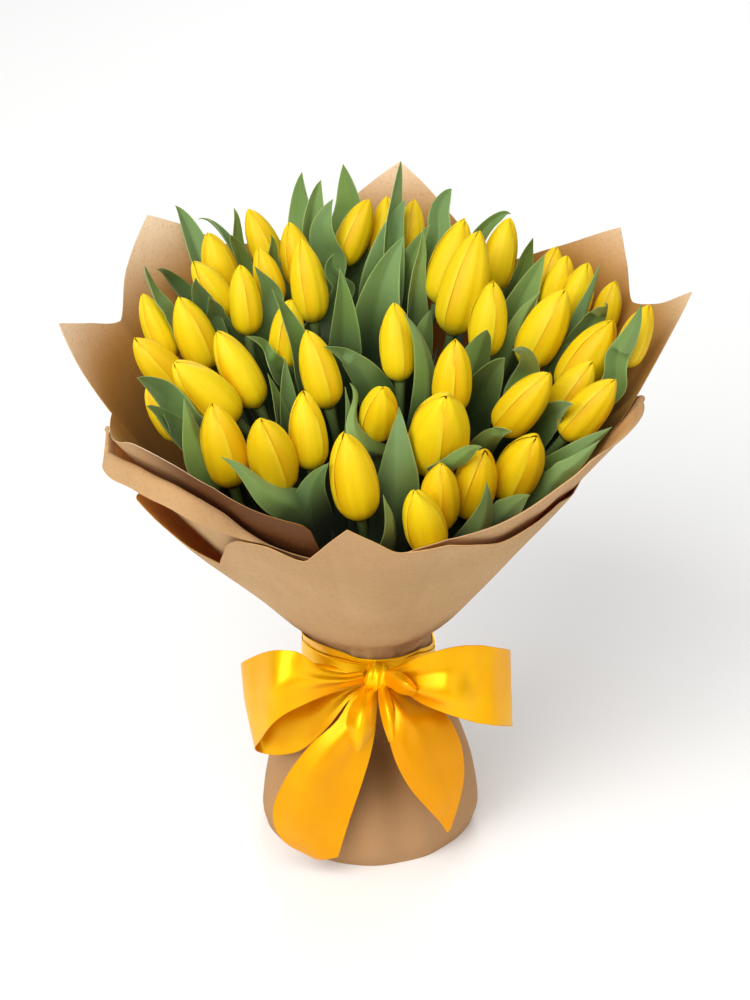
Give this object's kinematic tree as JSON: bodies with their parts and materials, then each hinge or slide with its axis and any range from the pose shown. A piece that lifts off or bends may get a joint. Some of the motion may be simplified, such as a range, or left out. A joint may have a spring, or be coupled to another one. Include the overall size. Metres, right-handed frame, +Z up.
{
  "type": "bouquet of tulips",
  "caption": "Hand-tied bunch of closed yellow tulips with their leaves, wrapped in a flared collar of brown kraft paper and closed at the waist by a satin ribbon bow.",
  "frame": {"origin": "the cut end of the middle stem, on the surface that the bunch stands on", "axes": "+Z up along the bunch, -Y towards the viewer who faces the bow, +X to that viewer's right"},
  "size_m": [0.4029, 0.4002, 0.4432],
  "materials": {
    "petals": "smooth waxy petal, slightly translucent",
    "greens": "matt waxy leaf and stem",
    "twine": "twisted natural fibre",
    "kraft_paper": "matt unbleached kraft",
    "satin_ribbon": "glossy woven satin"
  },
  "bodies": {
    "root": {"tulip_head_01": "petals", "tulip_head_02": "petals", "tulip_head_03": "petals", "tulip_head_04": "petals", "tulip_head_05": "petals", "tulip_head_06": "petals", "tulip_head_07": "petals", "tulip_head_08": "petals", "tulip_head_09": "petals", "tulip_head_10": "petals", "tulip_head_11": "petals", "tulip_head_12": "petals", "tulip_head_13": "petals", "tulip_head_14": "petals", "tulip_head_15": "petals", "tulip_head_16": "petals", "tulip_head_17": "petals", "tulip_head_18": "petals", "tulip_head_19": "petals", "tulip_head_20": "petals", "tulip_head_21": "petals", "tulip_head_22": "petals", "tulip_head_23": "petals", "tulip_head_24": "petals", "tulip_head_25": "petals", "tulip_head_26": "petals", "tulip_head_27": "petals", "tulip_head_28": "petals", "tulip_head_29": "petals", "tulip_head_30": "petals", "tulip_head_31": "petals", "tulip_head_32": "petals", "tulip_head_33": "petals", "tulip_head_34": "petals", "tulip_head_35": "petals", "tulip_head_36": "petals", "tulip_head_37": "petals", "tulip_head_38": "petals", "tulip_head_39": "petals", "tulip_head_40": "petals", "tulip_head_41": "petals", "tulip_head_42": "petals", "tulip_head_43": "petals", "tulip_head_44": "petals", "stems_and_leaves": "greens", "binding_twine": "twine", "paper_back": "kraft_paper", "paper_middle": "kraft_paper", "paper_outer": "kraft_paper", "ribbon_band": "satin_ribbon", "ribbon_bow": "satin_ribbon"}
  },
  "joints": []
}
